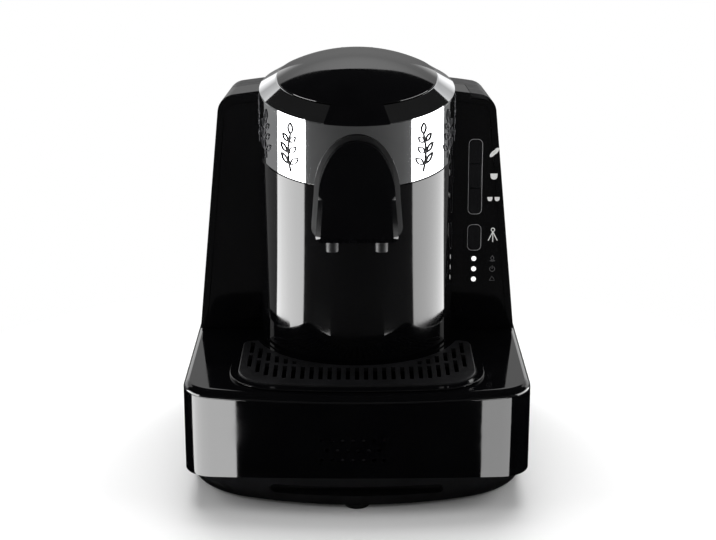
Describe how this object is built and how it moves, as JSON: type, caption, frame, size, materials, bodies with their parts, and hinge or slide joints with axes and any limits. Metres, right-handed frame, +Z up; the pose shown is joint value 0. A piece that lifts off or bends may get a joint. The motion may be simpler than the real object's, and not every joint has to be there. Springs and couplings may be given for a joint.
{
  "type": "electric turkish coffee maker",
  "caption": "Countertop Turkish coffee maker with a tilted brewing column, hinged lid, twin spouts over a slotted drip tray, side key panel and rear lift-out water tank",
  "frame": {"origin": "on the table, under the middle of the machine's bounding box", "axes": "+Z up, front toward -Y, +X to the right of a person facing the machine's front seen from the front"},
  "size_m": [0.244, 0.268, 0.3045],
  "materials": {
    "gloss_black_abs": "injection moulded ABS, polished to a mirror gloss",
    "satin_black_abs": "moulded plastic with a fine satin grain",
    "chrome_plate": "chrome plated steel band",
    "dark_chrome": "black chrome plated ring",
    "key_black": "painted keys",
    "smoked_tank": "smoked clear styrene",
    "light_guide": "milky light guide",
    "silicone": "moulded silicone",
    "black_rubber": "moulded rubber",
    "stainless": "drawn stainless steel",
    "zinc_plate": "zinc plated steel",
    "heater_alloy": "cast aluminium heating plate",
    "white_nylon": "natural nylon",
    "circuit_board": "glass fibre board",
    "switch_grey": "moulded switch bodies"
  },
  "bodies": {
    "machine": {"base_body": "gloss_black_abs", "deck_cover": "gloss_black_abs", "column_shell": "gloss_black_abs", "left_fascia": "gloss_black_abs", "control_panel": "gloss_black_abs", "tower_housing": "gloss_black_abs", "spout_cover": "gloss_black_abs", "lower_pan": "satin_black_abs", "spout_collar": "satin_black_abs", "spout_nozzles": "satin_black_abs", "hinge_bracket": "satin_black_abs", "tank_seat": "satin_black_abs", "chrome_band": "chrome_plate", "top_ring": "dark_chrome", "indicator_lights": "light_guide", "pot_gasket": "silicone", "suction_hose": "silicone", "pressure_hose": "silicone", "pump_mounts": "silicone", "rubber_feet": "black_rubber", "cord_inlet": "black_rubber", "brew_pot": "stainless", "hinge_pin": "stainless", "board_screws": "stainless", "pot_carrier": "zinc_plate", "thermostat": "zinc_plate", "solenoid": "zinc_plate", "heater_plate": "heater_alloy", "valve_body": "white_nylon", "outlet_manifold": "white_nylon", "water_pump": "white_nylon", "board_stands": "white_nylon", "control_board": "circuit_board", "power_board": "circuit_board", "key_switches": "switch_grey", "sounder": "switch_grey"},
    "brew_lid": {"lid_shell": "gloss_black_abs", "lid_liner": "satin_black_abs", "lid_seal": "silicone"},
    "tank": {"tank_shell": "smoked_tank", "tank_valve": "white_nylon", "tank_hinge_pins": "stainless"},
    "tank_lid": {"tank_lid": "satin_black_abs"},
    "drip_tray": {"drip_tray": "gloss_black_abs"},
    "drip_grille": {"drip_grille": "satin_black_abs"},
    "roast_key": {"button_roast": "key_black"},
    "one_cup_key": {"button_one_cup": "key_black"},
    "two_cups_key": {"button_two_cups": "key_black"},
    "clean_key": {"button_clean": "key_black"},
    "drain_plunger": {"valve_plunger": "stainless", "valve_spring": "stainless"}
  },
  "joints": [
    {"name": "brew_lid_hinge", "type": "hinge", "parent": "machine", "child": "brew_lid", "pos_m": [0, 0.06135, 0.29097], "axis": [-1, 0, 0], "range_deg": [0, 80]},
    {"name": "tank_lift", "type": "slide", "parent": "machine", "child": "tank", "axis": [0, 0, 1], "range_m": [0, 0.06]},
    {"name": "tank_lid_hinge", "type": "hinge", "parent": "tank", "child": "tank_lid", "pos_m": [0, 0.1285, 0.26309], "axis": [-1, 0, 0], "range_deg": [0, 95]},
    {"name": "tray_lift", "type": "slide", "parent": "machine", "child": "drip_tray", "axis": [0, 0, 1], "range_m": [0, 0.04]},
    {"name": "grille_lift", "type": "slide", "parent": "drip_tray", "child": "drip_grille", "axis": [0, 0, 1], "range_m": [0, 0.02]},
    {"name": "drain_stroke", "type": "slide", "parent": "machine", "child": "drain_plunger", "axis": [0, 0, -1], "range_m": [0, 0.003], "stiffness_N_per_m": 400, "deforming": ["valve_spring"]},
    {"name": "roast_key_press", "type": "slide", "parent": "machine", "child": "roast_key", "axis": [0, 0.9989, -0.0465], "range_m": [0, 0.0008], "stiffness_N_per_m": 2000},
    {"name": "one_cup_key_press", "type": "slide", "parent": "machine", "child": "one_cup_key", "axis": [0, 0.9989, -0.0465], "range_m": [0, 0.0008], "stiffness_N_per_m": 2000},
    {"name": "two_cups_key_press", "type": "slide", "parent": "machine", "child": "two_cups_key", "axis": [0, 0.9989, -0.0465], "range_m": [0, 0.0008], "stiffness_N_per_m": 2000},
    {"name": "clean_key_press", "type": "slide", "parent": "machine", "child": "clean_key", "axis": [0, 0.9989, -0.0465], "range_m": [0, 0.0008], "stiffness_N_per_m": 2000}
  ]
}
